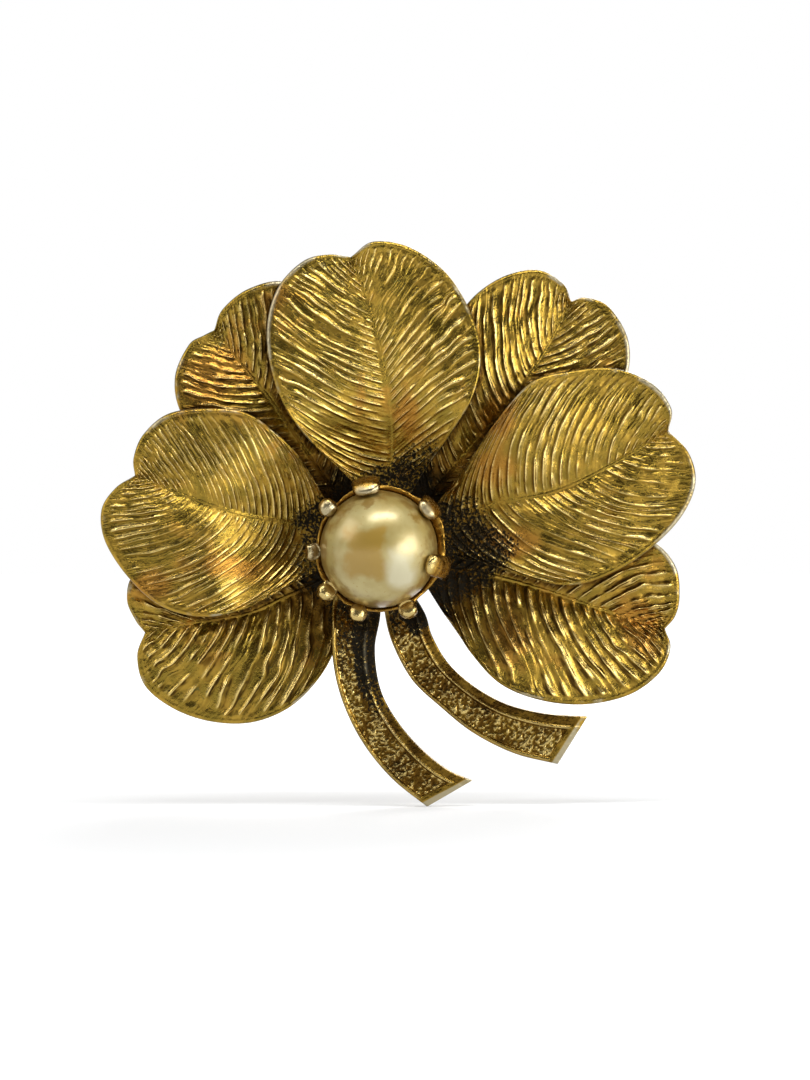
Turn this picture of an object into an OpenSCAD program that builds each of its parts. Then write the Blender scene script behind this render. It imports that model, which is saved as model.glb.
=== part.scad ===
// Seven-leaf clover brooch: two layers of cast leaves and two cut stems on a riveted hub,
// a pearl in an eight-claw crown, and a hinged pin with a turning safety catch behind.
//
// The brooch stands as it is worn: its face looks along -Y, +Z is up and +X is the viewer's right.
// The origin is on the pin's axis. Every piece is drawn lying flat first, with x to the viewer's
// right, y up and z towards the viewer, measured from the point behind the pearl on the rear hub's
// back face, and as_worn() then stands it up.

/* [Leaves and stems] */
// Thickness of a leaf
leaf_t = 0.8; // [0.6:0.1:1.0]
// How far the front leaves rise from the hub to their tips
front_lift = 3.2; // [2.4:0.1:4.0]
// How far the rear leaves rise from the hub to their tips
rear_lift = 0.7; // [0.3:0.1:0.9]
// How far a leaf's edges curl up above its rib
leaf_cup = 0.7; // [0.2:0.1:0.9]
// How far a leaf's tip droops back
tip_droop = 0.9; // [0.2:0.1:1.2]
// Depth of the groove along a leaf's rib
rib_groove = 0.25; // [0.1:0.05:0.3]
// Thickness of a stem beyond the hub
stem_t = 1.5; // [1.1:0.1:1.8]
// Depth of the sunk panel along a stem
panel_depth = 0.3; // [0.1:0.05:0.4]

/* [Hub and rivet] */
// Radius of the rear hub
rear_hub_r = 4.4; // [4.0:0.1:4.6]
// Thickness of the rear hub
rear_hub_t = 0.8; // [0.6:0.1:1.2]
// Radius of the front hub
front_hub_r = 3.8; // [3.2:0.1:4.2]
// Thickness of the front hub
front_hub_t = 0.6; // [0.5:0.1:1.0]
// Radius of the centre rivet's shank
rivet_r = 0.8; // [0.6:0.05:0.9]

/* [Crown and pearl] */
// Diameter of the pearl
pearl_d = 8.5; // [8:0.1:9]
// How far below its middle the pearl's back is cut flat
pearl_cut = 2.0; // [1.5:0.1:2.5]
// Thickness of the crown's base under the pearl
crown_base_t = 1.1; // [0.9:0.1:1.4]
// Outer radius of the crown's rim
crown_r = 4.95; // [4.8:0.05:5.2]
// Thickness of a claw where it lies on the pearl
claw_t = 0.7; // [0.5:0.05:0.75]

/* [Pin and catch] */
// Radius of the pin's shank
pin_r = 0.42; // [0.35:0.01:0.5]
// Height of the pin's axis above the middle of the pearl
pin_rise = 3.0; // [2.8:0.1:3.2]
// Distance of the pin's axis behind the hub's back face
pin_back = 3.6; // [3.4:0.1:4.2]
// Distance from the middle to the hinge rivet
hinge_reach = 11.5; // [10:0.5:13]
// Distance from the middle to the middle of the catch
catch_reach = 11.0; // [10:0.5:12]
// Length of the pin bar
bar_l = 27; // [26:0.5:28]
// Width of the pin bar
bar_w = 2.4; // [2.2:0.1:2.6]

/* [Hidden] */
$fn = 96;
gold = "goldenrod";
steel = "silver";

// Heights of the stacked layers, from the rear hub's back face
rear_z = rear_hub_t;
front_z = rear_z + leaf_t + front_hub_t;
crown_z = front_z + leaf_t;
pearl_r = pearl_d / 2;
pearl_z = crown_z + crown_base_t + pearl_cut;

// A leaf's root starts just outside the rivet and lies flat until it is clear of the hub
root_r = 1.4;
flat_r = 4.6;
rise_run = 8;
droop_r = 13;
droop_run = 10;
// How much of the cupping is gone at the tip, and how far the rib's groove reaches across
cup_fade = 0.6;
groove_share = 0.25;
// How soon a vein that leaves the rib meets the edge
vein_sweep = 1.5;
// The left stem lies over the hub and stands this much higher than a leaf
stem_lift = 0.5;
stem_run = 2;
rivet_clear = 0.03;
rivet_head_r = 1.35;
rivet_head_t = 0.5;
head_gap = 0.1;
// How far a cutting shape reaches past what it cuts
past = 1;

// Leaf: [root direction, root half angle, left edge, right edge, rib, notch at the tip, lean].
// The points are on the spline that forms the line, from the hub outwards, and the lean is how
// far the right edge is raised and the left edge lowered.
TOP = [85, 25,
  [[-1.9, 5], [-4.4, 7.2], [-6.6, 9.9], [-7.8, 13], [-8.1, 16.2], [-7.3, 19], [-5.5, 20.9], [-3.6, 21.4]],
  [[3.3, 5.7], [5.1, 8.2], [6.8, 11], [7.4, 14], [6.7, 17], [4.9, 20], [2.2, 21.9], [-0.4, 22.3]],
  [[0.8, 5.8], [0.8, 9.8], [0.2, 13.8], [-0.7, 17.6]], [-2, 21.2], 0.2];
LEFT = [166, 27,
  [[-4.7, -1.2], [-7, -2.9], [-9.6, -4.3], [-12.6, -4.9], [-15.6, -4.2], [-18, -2.2], [-19.8, 0.5],
   [-20.1, 2.8], [-19.1, 4.4]],
  [[-4.3, 3.8], [-5.5, 6.3], [-7.3, 8.3], [-9.7, 9.9], [-12.6, 10.2], [-15.3, 9.8], [-17.1, 8.3],
   [-17.8, 6.6]],
  [[-4.7, 1.5], [-6.9, 2], [-9.9, 2.5], [-13.8, 3.8]], [-17.7, 5.3], -0.3];
RIGHT = [14, 21,
  [[5.3, 3.7], [6.7, 6.5], [8.6, 9.4], [11.1, 12.1], [14, 12.9], [17, 13.1], [19.8, 12], [21.2, 10.2]],
  [[5.5, -0.7], [8.3, -1.1], [11.2, -2.2], [14.2, -2.6], [17.2, -1.6], [19.9, 0.2], [22, 2.4],
   [23, 4.8], [22.5, 7]],
  [[4.9, 1.4], [8.2, 3.2], [12.8, 4.2], [17, 6.2]], [21, 8.6], -0.3];
UPPER_LEFT = [128, 20,
  [[-5.6, 3.6], [-9.2, 5.4], [-12.6, 7.4], [-14.6, 10.1], [-15, 12.7], [-14, 15], [-12.9, 15.7]],
  [[-1.4, 6], [-2.4, 9.6], [-3.4, 13.6], [-4.6, 17.6], [-6.9, 19.6], [-9.6, 19.1], [-11.5, 17.6]],
  [[-3.4, 4.4], [-5.8, 7.8], [-8, 11], [-10.3, 13.8]], [-12.1, 16.1], 0.2];
UPPER_RIGHT = [47, 24,
  [[2.5, 6.2], [3.6, 10], [4.8, 14.5], [6.4, 17.9], [8.9, 19.9], [11.6, 20.5], [13.5, 19.5]],
  [[6, 3.6], [9.5, 6], [13.5, 7.5], [16.6, 9.7], [18.2, 12.6], [18.3, 15.4], [16.9, 17.8],
   [15.2, 18.5]],
  [[3.9, 4.2], [6.8, 7.4], [9.8, 11], [12.2, 14.6]], [14.1, 18.2], -0.2];
LOWER_LEFT = [206, 22,
  [[-2.9, -4.1], [-3, -6.6], [-4.2, -9.2], [-6.4, -11.5], [-9.2, -12.7], [-12.2, -12.7],
   [-15, -11.8], [-17.2, -10.1], [-17.8, -7.9]],
  [[-5, -0.6], [-8.4, -0.6], [-12, -0.7], [-15.6, -1], [-18, -1.9], [-18.5, -3.7], [-17.9, -5.2]],
  [[-4.3, -2.3], [-6.9, -3.5], [-9.6, -4.7], [-13.6, -5.4]], [-17.2, -6.1], 0.3];
LOWER_RIGHT = [-16, 20,
  [[5.4, 0.2], [9, 0.9], [13, 1.4], [17, 1.4], [20.2, 0.5], [21.8, -1.3], [22.1, -3.4], [21.8, -4.9]],
  [[4.2, -3.2], [5.4, -5.4], [6.7, -7.6], [8.9, -9.9], [11.9, -11.1], [15.2, -11.4], [18.4, -10.7],
   [20.6, -9.1], [21.4, -7.3]],
  [[4.6, -1.3], [8.6, -2], [12.8, -3.2], [16.8, -4.6]], [21, -5.9], 0.2];

// Stem: [root direction, root half angle, upper edge, lower edge], both edges from the hub outwards
STEM_LEFT = [246, 24,
  [[0.1, -4.7], [-0.3, -7.3], [0.1, -10.2], [1.3, -12.5], [3.1, -14.6], [5, -16.1], [6.8, -16.9]],
  [[-3.2, -3.2], [-3.45, -5.8], [-3.3, -8.6], [-2.6, -11.3], [-1.2, -14.1], [0.9, -16.7], [3.5, -18.8]]];
STEM_RIGHT = [292, 17,
  [[3.2, -4.4], [3.9, -6.4], [5.1, -8.4], [7, -10.1], [9.4, -11.4], [12.3, -12.1], [15.3, -12.3]],
  [[0.4, -4.7], [1, -7], [2.4, -9.6], [4.5, -11.6], [6.9, -13.5], [9.9, -15], [13.1, -15.8]]];

// Grid of a leaf and of a stem: rows along it and columns across it
leaf_rows = 24;
leaf_cols = 6;
stem_rows = 20;
// Places across a stem, from its upper edge: a broad border, the sunk panel, a narrow border
stem_across = [0, 0.2, 0.27, 0.33, 0.6, 0.86, 0.92, 1];
panel_from = 0.3;
panel_to = 0.9;

// Claw: [direction, how far up the pearl it reaches, width], in degrees round and up the pearl
CLAWS = [[39, 25, 17], [101, 27, 17], [141, 23, 15], [182, 14, 13],
         [219, 14, 13], [252, 19, 14], [295, 14, 13], [344, 33, 17]];
pearl_clear = 0.03;
claw_foot = -24;
cup_top = -8;
cup_flare = 0.5;
cup_rim_h = 0.3;
arc_steps = 6;
// Scallop between two claws: height of its middle over the rim and its radius, as shares of the gap
scallop_rise = 1 / 12;
scallop_r = 1 / 5;

// Pin bar, hinge and catch
bar_t = 0.8;
eye_r = 1.0;
eye_t = 1.2;
cheek_t = 0.5;
side_clear = 0.05;
hinge_pin_r = 0.4;
hinge_hole_clear = 0.02;
hinge_head_t = 0.35;
hinge_foot_lip = 0.3;
cheek_lip = 0.1;
// The shoulder starts inside the eye, this share of its radius from the hinge's axis
shoulder_from = 0.6;
shoulder_r = 0.6;
shoulder_l = 2.3;
// The shank tapers gently from just short of the catch and then comes to its point
taper_before_catch = 1.8;
taper_r = 0.34;
point_l = 1.8;
point_r = 0.05;
pin_past_catch = 0.6;
lock_in_r = 0.75;
lock_out_r = 1.5;
lock_l = 1.8;
housing_r = 2.1;
flange_t = 0.35;
slot_half = 0.7;
catch_foot_w = 1.8;
catch_foot_from = 1.7;
// The lever starts inside the lock's wall and passes through a window with room at its sides
lever_w = 0.6;
lever_reach = 3.2;
lever_from = 0.95;
lever_rest = 45;
lever_room = 0.15;
lever_room_turn = 20;
lock_turn = 90;
// How far one bar runs into the next where they are one piece
joined = 0.1;

function smooth(f) = let(c = max(0, min(1, f))) c * c * (3 - 2 * c);
function polar(r, a) = [r * cos(a), r * sin(a)];

// Catmull-Rom spline through the points, sampled, and the point at a fraction of its length
function span_at(a, b, c, d, t) =
  0.5 * (2 * b + (c - a) * t + (2 * a - 5 * b + 4 * c - d) * t * t + (3 * b - a - 3 * c + d) * t * t * t);
function spline(p, n = 6) = let(last = len(p) - 1) [
  for (i = [0:last - 1], k = [0:n - 1])
    span_at(i > 0 ? p[i - 1] : 2 * p[0] - p[1], p[i], p[i + 1],
            i + 2 <= last ? p[i + 2] : 2 * p[last] - p[last - 1], k / n),
  p[last]];
function running(c) = [for (i = 0, l = 0; i < len(c);
  l = l + (i + 1 < len(c) ? norm(c[i + 1] - c[i]) : 0), i = i + 1) [l, c[i].x, c[i].y]];
function along(run, f) = let(l = f * run[len(run) - 1][0])
  [lookup(l, [for (q = run) [q[0], q[1]]]), lookup(l, [for (q = run) [q[0], q[2]]])];

// A row of the leaf's grid follows a vein, which meets the edge further on than it leaves the rib
function vein_end(s) = 1 - pow(1 - s, vein_sweep);

// Height of a leaf's upper face at a point, v of the way from the rib (0) to its left edge (-1) or
// right edge (1) and s of the way from root to tip: flat on the hub, rising from it, cupped across
// but less so towards the tip, leaning to one side, drooping at the tip and grooved at the rib
function leaf_height(p, v, s, lift, lean) = let(out = smooth((norm(p) - flat_r) / rise_run))
  leaf_t + out * (lift + leaf_cup * v * v * (1 - cup_fade * s) + lean * v)
  - tip_droop * smooth((norm(p) - droop_r) / droop_run)
  - rib_groove * out * (1 - smooth(abs(v) / groove_share));

// Closed shell between an upper and a lower grid of points: rows of equal width, and a single
// point past the last row if the shape ends in one
module shell(rows, tip, thick) {
  n = len(rows);
  w = len(rows[0]);
  up = [for (r = rows, p = r) p];
  every = concat(up, [for (i = [0:n * w - 1]) let(q = thick[floor(i / w)]) up[i] - [0, 0, q]],
                 is_undef(tip) ? [] : [tip, tip - [0, 0, thick[n - 1]]]);
  low = n * w;
  end = 2 * n * w;
  cells = [for (j = [0:n - 2], c = [0:w - 2]) j * w + c];
  edge = concat([for (c = [0:w - 2]) [c + 1, c]], [for (j = [0:n - 2]) [j * w, (j + 1) * w]],
                [for (j = [0:n - 2]) [(j + 2) * w - 1, (j + 1) * w - 1]],
                is_undef(tip) ? [for (c = [0:w - 2]) [(n - 1) * w + c, (n - 1) * w + c + 1]] : []);
  faces = concat(
    [for (i = cells) [i, i + w, i + w + 1]], [for (i = cells) [i, i + w + 1, i + 1]],
    [for (i = cells) [low + i, low + i + w + 1, low + i + w]],
    [for (i = cells) [low + i, low + i + 1, low + i + w + 1]],
    [for (e = edge) [e[0], low + e[0], low + e[1]]], [for (e = edge) [e[0], low + e[1], e[1]]],
    is_undef(tip) ? [] : concat(
      [for (c = [0:w - 2]) let(i = (n - 1) * w + c) [i, end, i + 1]],
      [for (c = [0:w - 2]) let(i = low + (n - 1) * w + c) [i, i + 1, end + 1]],
      [for (i = [(n - 1) * w]) [i, low + i, end + 1]], [for (i = [(n - 1) * w]) [i, end + 1, end]],
      [for (i = [n * w - 1]) [i, end, end + 1]], [for (i = [n * w - 1]) [i, end + 1, low + i]]));
  polyhedron(every, faces);
}

module leaf(shape, z, lift) {
  a = running(spline(concat([polar(root_r, shape[0] + shape[1])], shape[2], [shape[5]])));
  b = running(spline(concat([polar(root_r, shape[0] - shape[1])], shape[3], [shape[5]])));
  m = running(spline(concat([polar(root_r, shape[0])], shape[4], [shape[5]])));
  rows = [for (j = [0:leaf_rows - 1]) let(s = j / leaf_rows, rib = along(m, s))
    [for (c = [-leaf_cols:leaf_cols]) let(v = c / leaf_cols,
      p = rib + (along(c < 0 ? a : b, vein_end(s)) - rib) * abs(v))
      [p.x, p.y, z + leaf_height(p, v, s, lift, shape[6])]]];
  tip = [shape[5].x, shape[5].y, z + leaf_height(shape[5], 0, 1, lift, shape[6])];
  shell(rows, tip, [for (r = rows) leaf_t]);
}

module stem(shape, z, rise) {
  a = running(spline(concat([polar(root_r, shape[0] + shape[1])], shape[2])));
  b = running(spline(concat([polar(root_r, shape[0] - shape[1])], shape[3])));
  out = [for (j = [0:stem_rows]) smooth((norm(along(a, j / stem_rows)) - flat_r) / stem_run)];
  rows = [for (j = [0:stem_rows]) let(s = j / stem_rows)
    [for (v = stem_across) let(p = along(a, s) * (1 - v) + along(b, s) * v,
      sunk = (v > panel_from && v < panel_to) ? panel_depth * out[j] : 0)
      [p.x, p.y, z + leaf_t + (rise + stem_t - leaf_t) * out[j] - sunk]]];
  shell(rows, undef, [for (o = out) leaf_t + (stem_t - leaf_t) * o]);
}

module as_worn() {
  translate([0, -pin_back, -pin_rise]) rotate([90, 0, 0]) children();
}

// A cone or round bar that starts at x and lies on the pin's axis, and a bar on the hinge's axis
module cone_x(x, l, r1, r2) translate([x, pin_rise, -pin_back]) rotate([0, 90, 0])
  cylinder(l, r1, r2);
module bar_x(x, l, r) cone_x(x, l, r, r);
module bar_y(y, l, r) translate([-hinge_reach, pin_rise + y, -pin_back]) rotate([-90, 0, 0])
  cylinder(l, r, r);

module rear_hub() color(gold) as_worn() difference() {
  cylinder(rear_hub_t, rear_hub_r, rear_hub_r);
  translate([0, 0, -past]) cylinder(rear_hub_t + 2 * past, rivet_r + rivet_clear, rivet_r + rivet_clear);
}

module front_hub() color(gold) as_worn() translate([0, 0, rear_z + leaf_t]) difference() {
  cylinder(front_hub_t, front_hub_r, front_hub_r);
  translate([0, 0, -past]) cylinder(front_hub_t + 2 * past, rivet_r + rivet_clear, rivet_r + rivet_clear);
}

// Point on the ball that the claws and the cup follow, at an angle above the pearl's middle
function on_ball(gap, up) = [(pearl_r + gap) * cos(up), pearl_z + (pearl_r + gap) * sin(up)];

module crown_cup() {
  seat_z = pearl_z - pearl_cut;
  seat_up = -asin(pearl_cut / pearl_r);
  rotate_extrude() polygon(concat(
    [[rivet_r + rivet_clear, crown_z], [front_hub_r, crown_z],
     [front_hub_r + cup_flare, crown_z + cup_flare],
     [crown_r, on_ball(claw_t, cup_top).y - cup_rim_h], [crown_r, on_ball(claw_t, cup_top).y]],
    [for (i = [0:arc_steps]) on_ball(pearl_clear, cup_top + (seat_up - cup_top) * i / arc_steps)],
    [[rivet_head_r + head_gap, seat_z], [rivet_head_r + head_gap, seat_z - rivet_head_t - head_gap],
     [rivet_r + rivet_clear, seat_z - rivet_head_t - head_gap]]));
}

module claw(direction, reach, width) {
  rotate([0, 0, direction - width / 2]) rotate_extrude(angle = width) polygon(concat(
    [for (i = [0:arc_steps]) on_ball(pearl_clear, claw_foot + (reach - claw_foot) * i / arc_steps)],
    [for (i = [0:arc_steps]) on_ball(claw_t, reach - (reach - claw_foot) * i / arc_steps)]));
}

module crown_setting() color(steel) as_worn() difference() {
  union() {
    crown_cup();
    for (c = CLAWS) claw(c[0], c[1], c[2]);
  }
  for (i = [0:len(CLAWS) - 1]) {
    next = i + 1 < len(CLAWS) ? CLAWS[i + 1][0] : CLAWS[0][0] + 360;
    gap = (next - CLAWS[i][0]) * PI / 180 * crown_r;
    translate([0, 0, on_ball(claw_t, cup_top).y + gap * scallop_rise])
      rotate([0, 90, (CLAWS[i][0] + next) / 2])
        cylinder(2 * crown_r, gap * scallop_r, gap * scallop_r);
  }
}

module pearl() color("cornsilk") as_worn() difference() {
  translate([0, 0, pearl_z]) sphere(pearl_r);
  translate([-pearl_r, -pearl_r, pearl_z - pearl_cut - pearl_d]) cube(pearl_d);
}

module centre_rivet() color(gold) as_worn() {
  head_z = pearl_z - pearl_cut - rivet_head_t - head_gap;
  translate([0, 0, -rivet_head_t]) cylinder(rivet_head_t, rivet_head_r, rivet_head_r);
  translate([0, 0, -rivet_head_t]) cylinder(head_z + rivet_head_t + joined, rivet_r, rivet_r);
  translate([0, 0, head_z]) cylinder(rivet_head_t, rivet_head_r, rivet_head_r);
}

module pin_bar() color(gold) as_worn()
  translate([-bar_l / 2, pin_rise - bar_w / 2, -bar_t]) cube([bar_l, bar_w, bar_t]);

module hinge_bracket() color(steel) as_worn() {
  foot_w = eye_t + 2 * (side_clear + cheek_t);
  translate([-hinge_reach - eye_r - hinge_foot_lip, pin_rise - foot_w / 2, -bar_t - cheek_t])
    cube([2 * (eye_r + hinge_foot_lip), foot_w, cheek_t]);
  for (side = [-1, 1]) difference() {
    union() {
      bar_y(side * (eye_t / 2 + side_clear) - (side < 0 ? cheek_t : 0), cheek_t, eye_r + cheek_lip);
      translate([-hinge_reach - eye_r - cheek_lip, pin_rise - cheek_t / 2 + side * (foot_w - cheek_t) / 2,
                 -pin_back]) cube([2 * (eye_r + cheek_lip), cheek_t, pin_back - bar_t]);
    }
    bar_y(-foot_w, 2 * foot_w, hinge_pin_r + hinge_hole_clear);
  }
}

module hinge_rivet() color(steel) as_worn() {
  reach = eye_t / 2 + side_clear + cheek_t;
  bar_y(-reach, 2 * reach, hinge_pin_r);
  for (y = [-reach - hinge_head_t, reach]) bar_y(y, hinge_head_t, 2 * hinge_pin_r);
}

module pin_stem() color(steel) as_worn() {
  shoulder_x = -hinge_reach + eye_r * shoulder_from;
  shank_x = -hinge_reach + shoulder_l;
  taper_x = catch_reach - taper_before_catch;
  point_x = catch_reach + lock_l / 2 + pin_past_catch;
  difference() {
    union() {
      bar_y(-eye_t / 2, eye_t, eye_r);
      bar_x(shoulder_x, shank_x - shoulder_x, shoulder_r);
    }
    bar_y(-eye_t, 2 * eye_t, hinge_pin_r + side_clear);
  }
  bar_x(shank_x - joined, taper_x - shank_x + joined, pin_r);
  cone_x(taper_x, point_x - taper_x, pin_r, taper_r);
  cone_x(point_x, point_l, taper_r, point_r);
}

// Slice of a disc about the catch's axis, centred on an angle from the slot towards -y
module catch_wedge(x, l, middle, half, r) {
  translate([x, pin_rise, -pin_back]) rotate([0, 90, 0]) linear_extrude(l)
    polygon(concat([[0, 0]], [for (i = [-3:3]) polar(r, -middle - i * half / 3)]));
}

module catch_housing() color(steel) as_worn() {
  inner = lock_l + 2 * side_clear;
  outer = inner + 2 * flange_t;
  window = lever_w + 2 * lever_room;
  difference() {
    union() {
      bar_x(catch_reach - outer / 2, outer, housing_r);
      translate([catch_reach - outer / 2, pin_rise - catch_foot_w / 2, -pin_back + catch_foot_from])
        cube([outer, catch_foot_w, pin_back - bar_t - catch_foot_from]);
    }
    bar_x(catch_reach - inner / 2, inner, lock_out_r + side_clear);
    bar_x(catch_reach - outer, 2 * outer, lock_in_r + side_clear);
    translate([catch_reach - outer, pin_rise - slot_half, -pin_back - 2 * housing_r])
      cube([2 * outer, 2 * slot_half, 2 * housing_r]);
    catch_wedge(catch_reach - window / 2, window, lever_rest + lock_turn / 2,
                lock_turn / 2 + lever_room_turn, 3 * housing_r);
  }
}

module catch_lock() color(steel) as_worn() {
  difference() {
    bar_x(catch_reach - lock_l / 2, lock_l, lock_out_r);
    bar_x(catch_reach - lock_l, 2 * lock_l, lock_in_r);
    translate([catch_reach - lock_l, pin_rise - slot_half, -pin_back - 2 * lock_out_r])
      cube([2 * lock_l, 2 * slot_half, 2 * lock_out_r]);
  }
  translate([catch_reach - lever_w / 2, pin_rise, -pin_back]) rotate([-lever_rest, 0, 0])
    translate([0, -lever_w / 2, -lever_reach]) cube([lever_w, lever_w, lever_reach - lever_from]);
}

module leaf_top() color(gold) as_worn() leaf(TOP, front_z, front_lift);
module leaf_left() color(gold) as_worn() leaf(LEFT, front_z, front_lift);
module leaf_right() color(gold) as_worn() leaf(RIGHT, front_z, front_lift);
module leaf_upper_left() color(gold) as_worn() leaf(UPPER_LEFT, rear_z, rear_lift);
module leaf_upper_right() color(gold) as_worn() leaf(UPPER_RIGHT, rear_z, rear_lift);
module leaf_lower_left() color(gold) as_worn() leaf(LOWER_LEFT, rear_z, rear_lift);
module leaf_lower_right() color(gold) as_worn() leaf(LOWER_RIGHT, rear_z, rear_lift);
module stem_left() color("darkgoldenrod") as_worn() stem(STEM_LEFT, front_z, stem_lift);
module stem_right() color("darkgoldenrod") as_worn() stem(STEM_RIGHT, rear_z, 0);

leaf_top();
leaf_left();
leaf_right();
leaf_upper_left();
leaf_upper_right();
leaf_lower_left();
leaf_lower_right();
stem_left();
stem_right();
rear_hub();
front_hub();
crown_setting();
pearl();
centre_rivet();
pin_bar();
hinge_bracket();
hinge_rivet();
pin_stem();
catch_housing();
catch_lock();
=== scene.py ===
"""Looks of the clover brooch: veined leaves, grained stems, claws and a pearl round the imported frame.

Shapes are worked out in millimetres lying flat, as the design is drawn: x to the viewer's right,
y up and z towards the viewer, from the middle of the rear hub's back face. as_worn() turns them
into the frame's metres.
"""

import math

import bmesh
import bpy
import numpy as np
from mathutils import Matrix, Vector


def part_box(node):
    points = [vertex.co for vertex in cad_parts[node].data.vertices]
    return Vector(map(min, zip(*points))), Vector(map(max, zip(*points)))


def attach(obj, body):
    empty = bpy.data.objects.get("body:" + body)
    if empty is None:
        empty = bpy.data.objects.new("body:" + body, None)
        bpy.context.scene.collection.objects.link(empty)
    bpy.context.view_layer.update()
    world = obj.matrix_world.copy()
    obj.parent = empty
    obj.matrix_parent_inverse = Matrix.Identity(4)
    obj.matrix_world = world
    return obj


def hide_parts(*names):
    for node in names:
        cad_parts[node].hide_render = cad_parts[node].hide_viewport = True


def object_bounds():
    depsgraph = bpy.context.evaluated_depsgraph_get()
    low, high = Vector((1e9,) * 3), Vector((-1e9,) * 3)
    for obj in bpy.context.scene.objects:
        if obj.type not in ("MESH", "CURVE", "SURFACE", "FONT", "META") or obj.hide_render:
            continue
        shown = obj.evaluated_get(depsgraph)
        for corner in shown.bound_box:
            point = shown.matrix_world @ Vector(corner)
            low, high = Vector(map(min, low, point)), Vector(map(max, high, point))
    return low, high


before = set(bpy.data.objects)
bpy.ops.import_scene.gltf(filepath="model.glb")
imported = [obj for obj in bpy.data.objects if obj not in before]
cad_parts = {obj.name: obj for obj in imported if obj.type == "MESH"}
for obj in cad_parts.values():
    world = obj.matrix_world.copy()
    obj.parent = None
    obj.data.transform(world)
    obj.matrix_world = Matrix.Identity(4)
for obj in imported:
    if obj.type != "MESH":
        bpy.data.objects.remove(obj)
cad_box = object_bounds()

MM = 0.001
TURN = 2 * math.pi

# ------------------------------ places, read from the frame


def box_mm(node):
    low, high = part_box(node)
    return np.array(low) / MM, np.array(high) / MM


# The brooch faces -Y, so a node's lowest y is its front
hub_low, hub_high = box_mm("rear_hub")
front_low, front_high = box_mm("front_hub")
pearl_low, pearl_high = box_mm("pearl")
PIN_BACK = -hub_high[1]
PIN_RISE = -(hub_low[2] + hub_high[2]) / 2
REAR_Z = hub_high[1] - hub_low[1]
LEAF_T = hub_low[1] - front_high[1]
FRONT_Z = hub_high[1] - front_low[1]
CROWN_Z = FRONT_Z + LEAF_T
PEARL_R = (pearl_high[2] - pearl_low[2]) / 2
PEARL_Z = hub_high[1] - pearl_low[1] - PEARL_R
# How far behind its middle the pearl is cut flat
PEARL_CUT = 2.0
# The most that a detailed piece may be off the box of the node it stands for
BOX_SLACK = 0.6

# ------------------------------ leaves

# How the leaves stand: the same heights as the solids have
FRONT_LIFT = 3.2
REAR_LIFT = 0.7
LEAF_CUP = 0.7
CUP_FADE = 0.6
TIP_DROOP = 0.9
ROOT_R = 1.4
FLAT_R = 4.6
RISE_RUN = 8
DROOP_R = 13
DROOP_RUN = 10

# Groove along the rib: depth, half width as a share of the leaf's, and where and how it dies out
RIB_GROOVE = 0.25
RIB_SHARE = 0.25
RIB_END = 0.9
RIB_FADE = 0.4
# Fine raised line in the middle of that groove
RIBLINE_H = 0.07
RIBLINE_W = 0.12

# Edge: radius it is rounded to, the raised lip inside it, and the strip that can lose its plating
EDGE_ROUND = 0.22
LIP_AT = 0.25
LIP_W = 0.5
LIP_H = 0.09
RIM_W = 0.14

# Swelling between rib and edge, least where the leaf is narrow, and fine unevenness of the casting
PUFF = 0.35
PUFF_SPAN = 7
GRAIN_H = 0.016
GRAIN_SIZE = 0.5

# Radii at which each begins, and over what length: the lip, the swelling and the veins
LIP_ROOT = (5, 3)
PUFF_ROOT = (7, 6)
VEIN_ROOT = (4.8, 1.5)
# Veins also stop short of the rib, as a share of the way out, and of the edge
VEIN_RIB = 0.08
VEIN_EDGE = (0.15, 0.4)

# Rows of points for each vein, and steps from rib to edge on the upper and the lower face
ROWS_PER_VEIN = 12
ACROSS = 48
LOWER_EVERY = 6
# Turns round the edge, in degrees, with one more just past the upright (90)
EDGE_TURNS = (25, 50, 75, 90, 90.001, 105, 130, 155)

# Where the veins begin along the rib, and how far they stray from even spacing
VEIN_START = 0.02
WANDER = 0.85
FINE_WANDER = 0.2

# Section across one vein, as shares of the way to the next: where it turns from its gentle to its
# steep side, how sharp its crest is, the finer vein beside it and the dark ditch behind it
STEEP_FROM = 0.66
CREST_POWER = 3.2
FINE_AT = 0.38
FINE_W = 0.2
FINE_H = 0.5
DITCH_AT = 0.8
FRONT_DITCH_W = 0.14
REAR_DITCH_W = 0.2

# Added to a leaf's seed, so that each kind of noise on it differs
SALT = {"wander": 8, "strength": 20, "between": 30, "uneven": 35, "worn": 40, "grain": 60, "grime": 70,
        "copper": 90}

# Values kept for each point of a skin, for its material. "deep" is patina, and on the rear leaves and in
# the broken claw bead also painted shade; "crest" also places painted glints
MARKS = ("crest", "groove", "rim", "bare", "under", "grime", "deep", "copper", "row", "across")

# Places on the face, each x, y and half widths: reddish plate, veins worn smooth, rims that have lost
# their plating, and old glue on the pearl beside its claws
COPPER_SPOTS = [
    (-1.4, 11.2, 0.7, 1.9), (2.1, 10.4, 1.1, 2.2), (-12.5, 12.5, 3.0, 2.4), (-7.5, 18, 2.2, 1.3),
    (19.5, -5.5, 2.0, 2.6), (-16.8, -2.4, 1.6, 1.4), (8.2, 5.6, 2.2, 1.6), (9.5, 0.4, 2.6, 1.0),
    (8.5, 9.5, 1.4, 3.0), (9.5, -5.5, 1.5, 2.5), (-11, -1.2, 3.0, 1.0),
]
SMOOTH_SPOTS = [
    (2.2, 19.8, 2.8, 2.4), (12.2, 2.0, 2.4, 1.5), (21.7, 5.4, 1.4, 2.6), (-13, 3.7, 2.0, 1.4),
]
BARE_SPOTS = [
    (-7.9, 16.5, 1.2, 3.5), (-5.8, 20.6, 1.4, 1.0), (20.3, 11.4, 2.0, 1.6), (21.8, 2.0, 1.6, 2.4),
    (18.2, 15, 1.0, 2.4),
]
GLUE_SPOTS = [
    (-0.75, 3.4, 0.45, 0.6), (3.35, -0.95, 0.5, 0.7), (3.1, 2.5, 0.8, 0.6), (-2.9, 2.9, 0.8, 0.6),
]

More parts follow.
